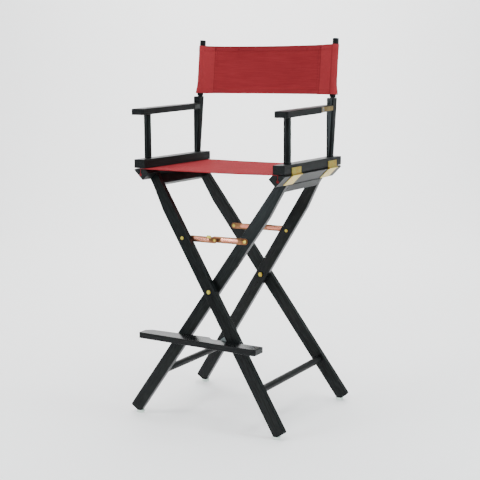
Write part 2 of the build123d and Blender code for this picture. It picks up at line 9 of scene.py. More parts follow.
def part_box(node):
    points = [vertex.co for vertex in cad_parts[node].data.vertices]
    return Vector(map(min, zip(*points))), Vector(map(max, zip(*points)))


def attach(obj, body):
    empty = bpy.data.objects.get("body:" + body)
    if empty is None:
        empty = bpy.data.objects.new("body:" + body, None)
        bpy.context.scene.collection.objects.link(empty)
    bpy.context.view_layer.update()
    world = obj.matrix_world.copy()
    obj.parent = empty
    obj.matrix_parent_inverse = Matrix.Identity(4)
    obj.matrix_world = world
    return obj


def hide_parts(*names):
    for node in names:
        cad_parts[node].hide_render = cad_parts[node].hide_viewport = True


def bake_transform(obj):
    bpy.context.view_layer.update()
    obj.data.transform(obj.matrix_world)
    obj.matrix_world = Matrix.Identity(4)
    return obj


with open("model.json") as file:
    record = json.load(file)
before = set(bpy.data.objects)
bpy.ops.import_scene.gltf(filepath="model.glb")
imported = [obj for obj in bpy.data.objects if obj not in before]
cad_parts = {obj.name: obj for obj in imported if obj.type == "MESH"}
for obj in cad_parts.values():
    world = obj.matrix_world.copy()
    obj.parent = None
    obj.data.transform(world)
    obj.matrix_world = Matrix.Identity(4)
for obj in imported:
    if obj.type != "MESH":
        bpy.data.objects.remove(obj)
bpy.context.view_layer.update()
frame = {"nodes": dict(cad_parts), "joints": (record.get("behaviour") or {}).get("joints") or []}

# A folding director's chair. The CAD frame gives every place: +X is right as seen from the front,
# +Y is to the back, +Z is up, metres.

MM = 0.001
SIDES = (("left", -1), ("right", 1))
LEG_FRAMES = {"left": "frame_a", "right": "frame_b"}
joints = {joint["name"]: joint for joint in frame["joints"]}


# ---- camera ----
CAMERA_AZIMUTH = math.radians(29.57)
CAMERA_PITCH = math.radians(8.99)
CAMERA_ROLL = math.radians(-0.31)
CAMERA_X, CAMERA_FROM_PIVOTS, CAMERA_HEIGHT = 1.693, -2.9776, 1.0791
SENSOR_WIDTH_MM = 36
LENS_MM = 83.56


def make_camera():
    forward = Vector((
        -math.sin(CAMERA_AZIMUTH) * math.cos(CAMERA_PITCH),
        math.cos(CAMERA_AZIMUTH) * math.cos(CAMERA_PITCH),
        -math.sin(CAMERA_PITCH),
    ))
    right = Vector((math.cos(CAMERA_AZIMUTH), math.sin(CAMERA_AZIMUTH), 0))
    up = right.cross(forward)
    side = math.cos(CAMERA_ROLL) * right + math.sin(CAMERA_ROLL) * up
    top = -math.sin(CAMERA_ROLL) * right + math.cos(CAMERA_ROLL) * up
    data = bpy.data.cameras.new("camera")
    data.sensor_width = SENSOR_WIDTH_MM
    data.lens = LENS_MM
    data.clip_start, data.clip_end = 0.1, 50
    camera = bpy.data.objects.new("camera", data)
    bpy.context.collection.objects.link(camera)
    turn = Matrix((side, top, -forward)).transposed().to_4x4()
    pivots_y = joints["fold"]["pos_m"][1]
    place = (CAMERA_X, CAMERA_FROM_PIVOTS + pivots_y, CAMERA_HEIGHT)
    camera.matrix_world = Matrix.Translation(place) @ turn
    bpy.context.scene.camera = camera


make_camera()


# ---- shader helpers ----
def new_material(name):
    material = bpy.data.materials.new(name)
    material.use_nodes = True
    tree = material.node_tree
    return material, tree, tree.nodes["Principled BSDF"]


def node(tree, kind, **values):
    made = tree.nodes.new(kind)
    for key, value in values.items():
        made.inputs[key].default_value = value
    return made


def feed(tree, sockets, values):
    """Links each value that comes out of a node, and sets each one that is plain."""
    for socket, value in zip(sockets, values):
        if hasattr(value, "is_linked"):
            tree.links.new(value, socket)
        else:
            socket.default_value = value


def fade(tree, source, low, high, first=0.0, last=1.0):
    """A grey that is first up to low, last from high on, and even between them."""
    made = tree.nodes.new("ShaderNodeValToRGB")
    for element, place, value in zip(made.color_ramp.elements, (low, high), (first, last)):
        element.position = place
        element.color = (value, value, value, 1)
    tree.links.new(source, made.inputs["Fac"])
    return made.outputs["Color"]


def mix(tree, factor, first, second):
    made = tree.nodes.new("ShaderNodeMix")
    made.data_type = "RGBA"
    colour_inputs = (made.inputs[0], made.inputs[6], made.inputs[7])
    feed(tree, colour_inputs, (factor, first, second))
    return made.outputs[2]


def math_node(tree, operation, *values):
    made = tree.nodes.new("ShaderNodeMath")
    made.operation = operation
    feed(tree, made.inputs, values)
    return made.outputs[0]


def away_from(tree, value, place):
    return math_node(tree, "ABSOLUTE", math_node(tree, "SUBTRACT", value, place))


def object_points(tree, direction=(1, 0, 0), stretch=(1, 1, 1)):
    """Object coordinates turned so that X runs along a direction, then scaled."""
    coords = tree.nodes.new("ShaderNodeTexCoord")
    turn = tree.nodes.new("ShaderNodeMapping")
    to_x = Vector(direction).rotation_difference(Vector((1, 0, 0)))
    turn.inputs["Rotation"].default_value = to_x.to_euler()
    scale = tree.nodes.new("ShaderNodeMapping")
    scale.inputs["Scale"].default_value = stretch
    tree.links.new(coords.outputs["Object"], turn.inputs["Vector"])
    tree.links.new(turn.outputs["Vector"], scale.inputs["Vector"])
    return scale.outputs["Vector"]


def noise_value(tree, vector, scale=1.0, detail=4, rough=0.5):
    made = node(tree, "ShaderNodeTexNoise", Scale=scale, Detail=detail, Roughness=rough)
    tree.links.new(vector, made.inputs["Vector"])
    return made.outputs["Fac"]


def add_bump(tree, shader, height, strength, distance, base=None):
    bump = node(tree, "ShaderNodeBump", Strength=strength, Distance=distance)
    tree.links.new(height, bump.inputs["Height"])
    if base is not None:
        tree.links.new(base, bump.inputs["Normal"])
    tree.links.new(bump.outputs["Normal"], shader.inputs["Normal"])
    return bump.outputs["Normal"]


def painted_edge_highlight(tree):
    """High on convex edges, from the mesh's own curvature; it places a painted edge highlight."""
    geometry = tree.nodes.new("ShaderNodeNewGeometry")
    return fade(tree, geometry.outputs["Pointiness"], 0.52, 0.60)


# ---- materials ----
LACQUER_PORE = (0.0012, 0.0014, 0.0015, 1)
LACQUER_BLACK = (0.0066, 0.0078, 0.0080, 1)
LACQUER_FIGURE = (0.012, 0.014, 0.014, 1)
# a lighter grey painted on convex edges as a painted highlight, and how much of it is mixed in
LACQUER_EDGE_HIGHLIGHT = (0.075, 0.085, 0.082, 1)
EDGE_HIGHLIGHT_SHARE = 0.05


def lacquered_wood(name, direction, least_rough=0.22):
    """Black satin lacquer over open grain that runs along a direction."""
    material, tree, shader = new_material(name)
    grain = noise_value(tree, object_points(tree, direction, (9, 300, 300)), detail=6, rough=0.62)
    figure = noise_value(tree, object_points(tree, direction, (2.5, 26, 26)), detail=3)
    handling = noise_value(tree, object_points(tree), scale=14, detail=3, rough=0.6)
    colour = mix(tree, fade(tree, grain, 0.38, 0.62), LACQUER_PORE, LACQUER_BLACK)
    colour = mix(tree, fade(tree, figure, 0.35, 0.75, last=0.2), colour, LACQUER_FIGURE)
    # painted edge highlight: the lighter grey mixed onto convex edges
    highlight_mask = math_node(tree, "MULTIPLY", painted_edge_highlight(tree), EDGE_HIGHLIGHT_SHARE)
    colour = mix(tree, highlight_mask, colour, LACQUER_EDGE_HIGHLIGHT)
    tree.links.new(colour, shader.inputs["Base Color"])
    rough = math_node(tree, "MULTIPLY_ADD", handling, 0.05, least_rough)
    tree.links.new(rough, shader.inputs["Roughness"])
    shader.inputs["Specular IOR Level"].default_value = 0.11
    add_bump(tree, shader, grain, 0.25, 0.4 * MM)
    return material


CANVAS_DEEP = (0.175, 0.014, 0.018, 1)
CANVAS_RED = (0.330, 0.032, 0.038, 1)
CANVAS_PALE = (0.420, 0.052, 0.058, 1)
CANVAS_SHADE = (0.090, 0.008, 0.010, 1)
WEAVE_SCALE = 330.0
POCKET_FROM = 190 * MM
POCKET_PALER = 0.22
# a painted shade line along the pocket seam's fold: its half width and strength
SEAM_SHADE_HALF = 0.7 * MM
SEAM_SHADE_DARKER = 0.6
# a painted shadow stripe beside the right dowel, where the cloth bulges round it
CREASE_SHADE_FROM_MIDDLE = 232 * MM
CREASE_SHADE_HALF = 3.2 * MM


def pocket_colour_and_shade(tree, base):
    """Paler cloth beyond the pocket seam, painted shade along the seam's fold and a painted shadow
    stripe beside one dowel.
    """
    coords = tree.nodes.new("ShaderNodeTexCoord")
    split = tree.nodes.new("ShaderNodeSeparateXYZ")
    tree.links.new(coords.outputs["Object"], split.inputs[0])
    outward = math_node(tree, "ABSOLUTE", split.outputs["X"])
    beyond = math_node(tree, "GREATER_THAN", outward, POCKET_FROM)
    base = mix(tree, math_node(tree, "MULTIPLY", beyond, POCKET_PALER), base, CANVAS_PALE)
    # painted shade along the seam's fold
    fold = math_node(tree, "LESS_THAN", away_from(tree, outward, POCKET_FROM), SEAM_SHADE_HALF)
    base = mix(tree, math_node(tree, "MULTIPLY", fold, SEAM_SHADE_DARKER), base, CANVAS_SHADE)
    # painted shade of the dowel's bulge: a dark stripe beside the right-hand dowel
    crease_shade = away_from(tree, split.outputs["X"], CREASE_SHADE_FROM_MIDDLE)
    return mix(tree, fade(tree, crease_shade, 0.0, CREASE_SHADE_HALF, 0.55, 0.0), base, CANVAS_SHADE)


def canvas(name, across, along, with_pockets_and_shade=False):
    """Heavy red cotton canvas whose threads run along two directions."""
    material, tree, shader = new_material(name)
    threads = []
    for direction in (across, along):
        wave = node(tree, "ShaderNodeTexWave", Scale=WEAVE_SCALE, Distortion=0.6, Detail=1.0)
        wave.bands_direction = "X"
        tree.links.new(object_points(tree, direction), wave.inputs["Vector"])
        threads.append(wave.outputs["Fac"])
    weave = math_node(tree, "MULTIPLY", *threads)
    slubs = noise_value(tree, object_points(tree, across, (14, 620, 620)), rough=0.6)
    slubs_along = noise_value(tree, object_points(tree, along, (18, 560, 560)), rough=0.6)
    cloud = noise_value(tree, object_points(tree), scale=9, rough=0.55)
    base = mix(tree, fade(tree, weave, 0.05, 0.7), CANVAS_DEEP, CANVAS_RED)
    base = mix(tree, fade(tree, slubs, 0.42, 0.72, last=0.3), base, CANVAS_PALE)
    base = mix(tree, fade(tree, slubs_along, 0.50, 0.80, last=0.35), base, CANVAS_DEEP)
    base = mix(tree, fade(tree, cloud, 0.35, 0.70, last=0.35), base, CANVAS_DEEP)
    # the pockets' paler band and their painted shade lines
    if with_pockets_and_shade:
        base = pocket_colour_and_shade(tree, base)
    tree.links.new(base, shader.inputs["Base Color"])
    shader.inputs["Roughness"].default_value = 0.9
    shader.inputs["Specular IOR Level"].default_value = 0.05
    soft = add_bump(tree, shader, slubs, 0.25, 0.5 * MM)
    add_bump(tree, shader, weave, 0.6, 0.5 * MM, soft)
    return material


def plated(name, low, high, tint, roughness, metallic=1.0, blotch=26):
    """Plated metal whose colour drifts in soft blotches, with fine scratches."""
    material, tree, shader = new_material(name)
    drift = noise_value(tree, object_points(tree), scale=blotch, detail=3, rough=0.55)
    second = noise_value(tree, object_points(tree, (0.3, 1, 0.2)), scale=blotch * 2.3, rough=0.6)
    scratches = noise_value(
        tree, object_points(tree, (1, 0.4, 0.2), (60, 1500, 1500)), detail=3, rough=0.6
    )
    colour = mix(tree, fade(tree, drift, 0.36, 0.64), (*low, 1), (*high, 1))
    colour = mix(tree, fade(tree, second, 0.48, 0.70, last=0.6), colour, (*tint, 1))
    tree.links.new(colour, shader.inputs["Base Color"])
    shader.inputs["Metallic"].default_value = metallic
    rough = math_node(tree, "MULTIPLY_ADD", scratches, 0.22, roughness)
    tree.links.new(rough, shader.inputs["Roughness"])
    add_bump(tree, shader, scratches, 0.12, 0.2 * MM)
    return material


def nylon(name):
    """Pale green translucent nylon with a fine moulded texture."""
    material, tree, shader = new_material(name)
    cloud = noise_value(tree, object_points(tree), scale=60, detail=3)
    colour = mix(tree, cloud, (0.62, 0.74, 0.66, 1), (0.80, 0.87, 0.80, 1))
    tree.links.new(colour, shader.inputs["Base Color"])
    shader.inputs["Roughness"].default_value = 0.32
    shader.inputs["Subsurface Weight"].default_value = 0.25
    shader.inputs["Subsurface Radius"].default_value = (4 * MM, 5 * MM, 4 * MM)
    texture = noise_value(tree, object_points(tree), scale=240, detail=3)
    add_bump(tree, shader, texture, 0.15, 0.3 * MM)
    return material


def raw_wood(name, direction):
    """Unpainted dark dowel wood."""
    material, tree, shader = new_material(name)
    grain = noise_value(tree, object_points(tree, direction, (10, 260, 260)), detail=5, rough=0.6)
    colour = mix(tree, grain, (0.045, 0.020, 0.014, 1), (0.110, 0.060, 0.040, 1))
    tree.links.new(colour, shader.inputs["Base Color"])
    shader.inputs["Roughness"].default_value = 0.7
    add_bump(tree, shader, grain, 0.3, 0.4 * MM)
    return material


def sewing_thread(name):
    """Dark red twisted thread."""
    material, tree, shader = new_material(name)
    twist = noise_value(tree, object_points(tree), scale=900, detail=2)
    colour = mix(tree, twist, (0.040, 0.003, 0.005, 1), (0.100, 0.008, 0.010, 1))
    tree.links.new(colour, shader.inputs["Base Color"])
    shader.inputs["Roughness"].default_value = 0.9
    shader.inputs["Specular IOR Level"].default_value = 0.03
    add_bump(tree, shader, twist, 0.3, 0.2 * MM)
    return material


# the share of a leg's box that is the leg's own width, not its slope
LEG_OWN_WIDTH = 30 * MM


def leg_direction(letter, sx):
    low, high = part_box(f"leg_{letter}_front")
    return (sx * (high[0] - low[0] - LEG_OWN_WIDTH), 0, high[2] - low[2])


leg_a_wood = lacquered_wood("lacquer_leg_a", leg_direction("a", -1))
leg_b_wood = lacquered_wood("lacquer_leg_b", leg_direction("b", 1))
deep_wood = lacquered_wood("lacquer_deep", (0, 1, 0), 0.40)
wide_wood = lacquered_wood("lacquer_wide", (1, -0.05, 0))
tall_wood = lacquered_wood("lacquer_tall", (0, 0.05, 1))
seat_cloth = canvas("canvas_seat", (1, 0, 0), (0, 1, 0))
back_cloth = canvas("canvas_back", (1, 0, 0), (0, 0, 1), with_pockets_and_shade=True)
yellow_zinc = plated(
    "yellow_zinc", (0.52, 0.29, 0.040), (0.44, 0.39, 0.070), (0.20, 0.36, 0.09), 0.24, blotch=75
)
# a lighter, pinker copy of the stays' plating: a painted highlight for the pressed beads
bead_highlight_steel = plated(
    "bead_highlight_steel", (0.50, 0.135, 0.090), (0.62, 0.235, 0.165), (0.42, 0.20, 0.095), 0.16, blotch=45
)
bronze_steel = plated(
    "bronze_steel", (0.15, 0.060, 0.030), (0.30, 0.13, 0.070), (0.13, 0.10, 0.03), 0.24, blotch=50
)
dull_brass = plated(
    "dull_brass", (0.20, 0.13, 0.045), (0.34, 0.25, 0.10), (0.14, 0.11, 0.06), 0.34
)
grey_zinc = plated(
    "grey_zinc", (0.20, 0.215, 0.21), (0.32, 0.335, 0.33), (0.14, 0.15, 0.15), 0.36
)
black_steel = plated(
    "black_steel", (0.030, 0.034, 0.034), (0.060, 0.066, 0.064), (0.022, 0.024, 0.024), 0.40,
    metallic=0.6,
)
glide_nylon = nylon("glide_nylon")
dowel_wood = raw_wood("dowel_wood", (0, 1, 0))
thread = sewing_thread("red_thread")

# the first row whose beginning fits a node's name gives its material
NODE_MATERIALS = (
    (("leg_a",), leg_a_wood),
    (("leg_b",), leg_b_wood),
    (("seat_rail", "arm_base", "armrest", "apron", "stretcher"), deep_wood),
    (("front_post", "rear_post", "back_dowel"), tall_wood),
    (("footrest_board",), wide_wood),
    (("seat_dowel",), dowel_wood),
    (("glides",), glide_nylon),
    (("arm_bracket",), dull_brass),
    (("arm_plate",), black_steel),
    (("footrest", "pivot_washers"), grey_zinc),
    (("hinge", "pivot_bolts", "stay_bolts", "stay_rivet"), yellow_zinc),
    (("stay",), bronze_steel),
    (("seat", "back"), seat_cloth),
)


def paint_cad():
    for name, cad in frame["nodes"].items():
        material = next(made for starts, made in NODE_MATERIALS if name.startswith(starts))
        cad.data.materials.clear()
        cad.data.materials.append(material)


paint_cad()


# ---- mesh helpers ----
def make_mesh(name, points, faces, material, smooth_angle=40):
    mesh = bpy.data.meshes.new(name)
    mesh.from_pydata([tuple(p) for p in points], [], [tuple(f) for f in faces])
    mesh.validate()
    mesh.shade_smooth()
    mesh.set_sharp_from_angle(angle=math.radians(smooth_angle))
    mesh.materials.append(material)
    made = bpy.data.objects.new(name, mesh)
    bpy.context.collection.objects.link(made)
    return made


def thick_sheet(name, middle, thickness, material):
    """A closed sheet from a grid of points on its middle and the thickness at each point."""
    rows, columns = middle.shape[:2]
    normal = np.cross(np.gradient(middle, axis=0), np.gradient(middle, axis=1))
    normal /= np.linalg.norm(normal, axis=2, keepdims=True)
    half = normal * thickness[..., None] / 2
    points = np.concatenate(((middle + half).reshape(-1, 3), (middle - half).reshape(-1, 3)))
    under = rows * columns
    faces = []
    for i in range(rows - 1):
        for j in range(columns - 1):
            corner = i * columns + j
            quad = (corner, corner + columns, corner + columns + 1, corner + 1)
            faces.append(quad)
            faces.append(tuple(under + k for k in quad[::-1]))
    rim = list(range(columns))
    rim += [i * columns + columns - 1 for i in range(1, rows)]
    rim += [(rows - 1) * columns + j for j in range(columns - 2, -1, -1)]
    rim += [i * columns for i in range(rows - 2, 0, -1)]
    for a, b in zip(rim, rim[1:] + rim[:1]):
        faces.append((a, b, under + b, under + a))
    return make_mesh(name, points, faces, material)


def join_rings(faces, first, second, count):
    """A band of faces between two rings that start at the points first and second."""
    for k in range(count):
        n = (k + 1) % count
        faces.append((first + k, first + n, second + n, second + k))


def stack_rings(points, faces, rings):
    """Closes a stack of rings, each with the same number of points, into a solid."""
    base, count = len(points), len(rings[0])
    for ring in rings:
        points.extend(ring)
    top = base + (len(rings) - 1) * count
    for first in range(base, top, count):
        join_rings(faces, first, first + count, count)
    faces.append(tuple(range(base + count - 1, base - 1, -1)))
    faces.append(tuple(range(top, top + count)))


def slot_ring(low_u, high_u, half, count):
    """Points round a slot shape from low_u to high_u, centred on v = 0."""
    ring = []
    for k in range(count):
        a = 2 * math.pi * k / count
        end = high_u if math.cos(a) > 0 else low_u
        ring.append((end + half * math.cos(a), half * math.sin(a)))
    return ring


def nearest(values, target):
    return min(range(len(values)), key=lambda k: abs(values[k] - target))


DASH = 2.6 * MM
DASH_GAP = 1.0 * MM
THREAD = 0.5 * MM
RIDGE = 0.25
# how high a dash stands and its half width at its start, middle and end, in threads
DASH_SECTIONS = ((-0.15, 0.3), (0.35, 0.5), (-0.15, 0.3))


def stitches(name, lines, material):
    """Short raised thread dashes along lines; each line gives its points and its face's normal."""
    points, faces = [], []
    for line, normal in lines:
        line = np.asarray(line, float)
        steps = np.linalg.norm(np.diff(line, axis=0), axis=1)
        places = np.concatenate(([0], np.cumsum(steps)))
        out = np.array(normal, float) / np.linalg.norm(normal)
        start = DASH_GAP
        while start + DASH < places[-1]:
            spots = [
                np.array([np.interp(start + share * DASH, places, line[:, k]) for k in range(3)])
                for share in (0, 0.5, 1)
            ]
            along = (spots[2] - spots[0]) / np.linalg.norm(spots[2] - spots[0])
            side = np.cross(along, out)
            base = len(points)
            for spot, (lift, half) in zip(spots, DASH_SECTIONS):
                points.append(spot + out * (lift - RIDGE) * THREAD - side * half * THREAD)
                points.append(spot + out * (lift + RIDGE) * THREAD)
                points.append(spot + out * (lift - RIDGE) * THREAD + side * half * THREAD)
            join_rings(faces, base, base + 3, 3)
            join_rings(faces, base + 3, base + 6, 3)
            faces.append((base + 2, base + 1, base))
            faces.append((base + 6, base + 7, base + 8))
            start += DASH + DASH_GAP
    return make_mesh(name, points, faces, material, 70)


# ---- canvas seat and back ----
CLOTH = 1.1 * MM
HEM = 16 * MM
HEM_EXTRA = 0.9 * MM
HEM_STEP = 1.2 * MM


def across_hems(low, high, hem_points, panel_points):
    """Places from one edge of a cloth to the other, with a step at the inner edge of each hem."""
    return np.concatenate((
        np.linspace(low, low + HEM, hem_points),
        np.linspace(low + HEM + HEM_STEP, high - HEM - HEM_STEP, panel_points),
        np.linspace(high - HEM, high, hem_points),
    ))


def in_a_hem(place, low, high):
    return place < low + HEM + 0.1 * MM or place > high - HEM - 0.1 * MM


SEAT_ABOVE_RAIL = 0.75 * MM
SEAT_OFF_DOWEL = 0.55 * MM
WRAP_FROM, WRAP_TO, WRAP_POINTS = 52, -262, 40
RAIL_EDGE_RADIUS = 2 * MM
SEAT_PANEL_STEPS = 34
SEAT_HEM_POINTS = 9
SEAT_BOW = 3.0 * MM
SEAT_EDGE_SAG, SEAT_MIDDLE_SAG = 2.0 * MM, 3.2 * MM
SEAT_RIPPLE = 0.45 * MM
PINCH_OUT = 3.0 * MM
PINCH_SHARE = 0.4
# the stitched columns of points, counted from the front edge and from the rear edge
SEAT_SEAM_COLUMNS = (7, 5, -8, -6)
# how many rows the stitches start inside the free panel
SEAT_SEAM_START = 6


def seat_dowel(name):
    """A seat dowel's distance from the chair's middle, its height and its radius."""
    low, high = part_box(f"seat_dowel_{name}")
    return abs(low[0] + high[0]) / 2, (low[2] + high[2]) / 2, (high[2] - low[2]) / 2


def seat_path(name, sx, edge):
    """X and Z of the cloth, from its wrap round the dowel to the chair's middle.

    Also gives the row where the free panel between the rails starts.
    """
    cx, cz, radius = seat_dowel(name)
    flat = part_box("seat_rail_right")[1][2] + SEAT_ABOVE_RAIL
    wrap = radius + SEAT_OFF_DOWEL
    path = [
        (cx + wrap * math.cos(a), cz + wrap * math.sin(a))
        for a in np.radians(np.linspace(WRAP_FROM, WRAP_TO, WRAP_POINTS))
    ]
    path += [(cx - 0.1 * MM, cz + 7 * MM), (cx, flat - 2.4 * MM)]
    bend_x, bend_z = cx - RAIL_EDGE_RADIUS, flat - RAIL_EDGE_RADIUS
    path += [
        (bend_x + RAIL_EDGE_RADIUS * math.cos(a), bend_z + RAIL_EDGE_RADIUS * math.sin(a))
        for a in np.radians((20, 45, 70, 90))
    ]
    path += [(edge + 12 * MM, flat), (edge + 4 * MM, flat)]
    panel_row = len(path)
    path += [(edge * (1 - k / SEAT_PANEL_STEPS), flat) for k in range(SEAT_PANEL_STEPS + 1)]
    return [(sx * x, z) for x, z in path], panel_row


def seat_half(name, sx):
    edge = abs(joints["seat_right_fold"]["pos_m"][0])
    section, panel_row = seat_path(name, sx, edge)
    low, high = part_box(f"seat_canvas_{name}")
    rows = across_hems(low[1], high[1], SEAT_HEM_POINTS, 60)
    grid = np.zeros((len(section), len(rows), 3))
    thick = np.zeros(grid.shape[:2])
    cx, cz = seat_dowel(name)[:2]
    for i, (path_x, path_z) in enumerate(section):
        inner = max(0.0, 1 - abs(path_x) / edge) if i >= panel_row else 0.0
        span = 1 - (1 - inner) ** 2
        for j, y in enumerate(rows):
            x, z = path_x, path_z
            share = (y - low[1]) / (high[1] - low[1])
            off_middle = 2 * share - 1
            bow = SEAT_BOW * span * off_middle * abs(off_middle) ** 2
            sag = span * (SEAT_EDGE_SAG + SEAT_MIDDLE_SAG * math.sin(math.pi * share))
            ripple = SEAT_RIPPLE * span * noise.noise(Vector((x * 9, y * 14, 3.1)))
            if i < WRAP_POINTS and j in (0, len(rows) - 1):
                # the open end of the wrap is pinched shut
                x = sx * (cx + (abs(x) - cx) * PINCH_SHARE)
                z = cz + (z - cz) * PINCH_SHARE
                y += PINCH_OUT * (1 if j else -1)
            grid[i, j] = (x, y - bow, z - sag + ripple)
            hemmed = in_a_hem(y, low[1], high[1]) and inner > 0.02
            thick[i, j] = CLOTH + (HEM_EXTRA if hemmed else 0)
    cover = thick_sheet(f"seat_cover_{name}", grid, thick, seat_cloth)
    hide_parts(f"seat_canvas_{name}", f"seat_hem_{name}")
    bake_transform(cover)
    lines = []
    for column in SEAT_SEAM_COLUMNS:
        line = [
            grid[i, column] + np.array((0, 0, thick[i, column] / 2))
            for i in range(panel_row + SEAT_SEAM_START, len(section))
        ]
        lines.append((line, (0, 0, 1)))
    seam = stitches(f"seat_stitches_{name}", lines, thread)
    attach(seam, f"seat_{name}")


BACK_WRAP = 10.5 * MM
POCKET_WIDTH = 48.5 * MM
POCKET_LAP = 1.4 * MM
BACK_INSET = 1.5 * MM
BACK_PANEL_STEPS = 44
POCKET_STEPS = 12
BACK_HEM_POINTS = 8
# the stitched columns of points, counted from the lower edge and from the upper edge
BACK_SEAM_COLUMNS = (6, -7)
# how many rows the rear stitches stop short of the pocket's seam
BACK_SEAM_SHORT = 4
SKIN = 0.1 * MM
FLARE, FLARE_FALL = 4.6 * MM, 3.0
TOP_SAG, FOOT_LIFT = 3.4 * MM, 1.2 * MM
BULGE = 5.0 * MM
PUCKER, PUCKER_REACH = 0.55 * MM, 14 * MM
WAVE = 0.9 * MM
DENT, DENT_REACH, DENT_FROM_DOWEL = 1.6 * MM, 3 * MM, 11 * MM
# a bartack's threads, counted from its middle
TACK_THREADS = range(-3, 4)
TACK_PITCH = 0.6 * MM
TACK_DROPS = (0, 3 * MM, 6 * MM)


def falloff(distance, reach):
    return math.exp(-(distance / reach) ** 2)


def back_path(half_width, seam_x):
    """The cloth seen from above, as distances out from the middle and back from the dowels.

    It runs from the middle round the back dowel to the pocket's lap behind the seam. Also gives
    how many of its points face forward.
    """
    lean_in = math.asin(BACK_WRAP / (half_width - seam_x))
    path = [(seam_x * k / BACK_PANEL_STEPS, 0.0) for k in range(BACK_PANEL_STEPS + 1)]
    touch_x = half_width - BACK_WRAP * math.sin(lean_in)
    touch_y = -BACK_WRAP * math.cos(lean_in)
    shares = [k / POCKET_STEPS for k in range(1, POCKET_STEPS + 1)]
    path += [(seam_x + (touch_x - seam_x) * share, touch_y * share) for share in shares[:-1]]
    forward_points = len(path)
    path += [
        (half_width + BACK_WRAP * math.cos(a), BACK_WRAP * math.sin(a))
        for a in np.linspace(-math.pi / 2 - lean_in, math.pi / 2 + lean_in, 26)
    ]
    path += [
        (touch_x + (seam_x - touch_x) * share, -touch_y + (POCKET_LAP + touch_y) * share)
        for share in shares
    ]
    path += [(seam_x - 3 * MM, POCKET_LAP), (seam_x - 6 * MM, POCKET_LAP)]
    return path, forward_points


def bartacks(places, sx, foot, axis, path, heights, grid):
    """Short upright rows of thread at places from the middle and down from the top edge."""
    lines = []
    panel = [u for u, v in path[:BACK_PANEL_STEPS + 1]]
    for tack_u, below_top in places:
        column = grid[nearest(panel, tack_u)]
        for k in TACK_THREADS:
            start = Vector((sx * (tack_u + k * TACK_PITCH), foot.y, foot.z))
            line = []
            for drop in TACK_DROPS:
                height = float(heights[-1] - below_top - drop)
                spot = start + axis * height
                spot.y = float(column[nearest(heights, height)][1]) - 1.0 * MM
                line.append(np.array(spot))
            lines.append(line)
    return lines


def back_half(name, sx):
    joint = joints[f"back_{name}_fold"]
    foot = Vector(joint["pos_m"])
    axis = Vector(joint["axis"]).normalized()
    if axis.z < 0:
        axis = -axis
    depth = Vector((0, axis.z, -axis.y))
    low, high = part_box(f"back_canvas_{name}")
    half_width = abs(foot.x)
    seam_x = half_width - POCKET_WIDTH
    bottom = (low[2] - foot.z + BACK_INSET) / axis.z
    top = (high[2] - foot.z - BACK_INSET) / axis.z
    path, forward_points = back_path(half_width, seam_x)
    heights = across_hems(bottom, top, BACK_HEM_POINTS, 34)
    grid = np.zeros((len(path), len(heights), 3))
    thick = np.zeros(grid.shape[:2])
    for i, (u, v) in enumerate(path):
        middle_share = max(0.0, 1 - u / half_width)
        span = 1 - (1 - middle_share) ** 2
        outer = max(0.0, (u - seam_x) / (half_width - seam_x))
        loose = 1 - outer if v <= 0 else 0
        dent = DENT * falloff(u - half_width + DENT_FROM_DOWEL, DENT_REACH) * (1 if v < 0 else -1)
        for j, h in enumerate(heights):
            share = (h - bottom) / (top - bottom)
            flare = outer * FLARE * max(0.0, 1 - share * FLARE_FALL) ** 2
            rise = span * (FOOT_LIFT * (1 - share) ** 3 - TOP_SAG * share ** 3)
            bulge = span * BULGE * math.sin(math.pi * share) ** 0.5
            gathers = math.sin(h * 420 + 2 * math.sin(h * 90))
            pucker = PUCKER * falloff(u - seam_x, PUCKER_REACH) * gathers
            wave = WAVE * noise.noise(Vector((sx * u * 7, h * 16, 7.7)))
            place = Vector((sx * (u + flare), foot.y, foot.z)) + axis * (h + rise)
            place += depth * (v + dent + bulge + (pucker + wave) * loose)
            grid[i, j] = place
            thick[i, j] = CLOTH + (HEM_EXTRA if in_a_hem(h, bottom, top) else 0)
    cover = thick_sheet(f"back_cover_{name}", grid, thick, back_cloth)
    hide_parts(f"back_canvas_{name}")
    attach(cover, f"back_{name}")
    front = -depth
    skin = np.array(front) * (CLOTH / 2 + SKIN)
    hem_skin = np.array(front) * (CLOTH + HEM_EXTRA) / 2
    lap = np.array(front) * POCKET_LAP
    lines = []
    for column in BACK_SEAM_COLUMNS:
        lines.append((grid[:forward_points, column] + hem_skin, front))
        lines.append((grid[:BACK_PANEL_STEPS - BACK_SEAM_SHORT, column] - hem_skin, depth))
    for row in (BACK_PANEL_STEPS, BACK_PANEL_STEPS - 2):
        lines.append((grid[row] + skin, front))
        lines.append((grid[row] - skin - lap, depth))
    tack_places = ((188 * MM, 8 * MM), (192 * MM, 8 * MM), (sx * 20 * MM + 122 * MM, 11 * MM))
    for line in bartacks(tack_places, sx, foot, axis, path, heights, grid):
        lines.append((line, front))
    seam = stitches(f"back_stitches_{name}", lines, thread)
    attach(seam, f"back_{name}")


for side_name, sx in SIDES:
    seat_half(side_name, sx)
    back_half(side_name, sx)


# ---- folding stays, with their pressed beads ----
STAY_HALF = 9.5 * MM
STAY_THICK = 1.1 * MM
# where each plate's inner face lies along its bolt
STAY_LEVEL = {"a": -21.1 * MM, "b": 1.0 * MM}
PLATE_TRIM = 0.25 * MM
PLATE_SECTIONS = ((0.0, PLATE_TRIM), (0.2, 0.0), (0.8, 0.0), (1.0, PLATE_TRIM))
BEAD_HALF = 5.4 * MM
BEAD_FROM_BOLT, BEAD_FROM_RIVET = 23 * MM, 19 * MM
BEAD_HIGH_TO_LEG = 0.85 * MM
BEAD_HIGH_TO_LINK = 0.35 * MM
BEAD_SUNK = 0.1 * MM
BEAD_STEPS = 8
EAR_PROUD = 0.05 * MM
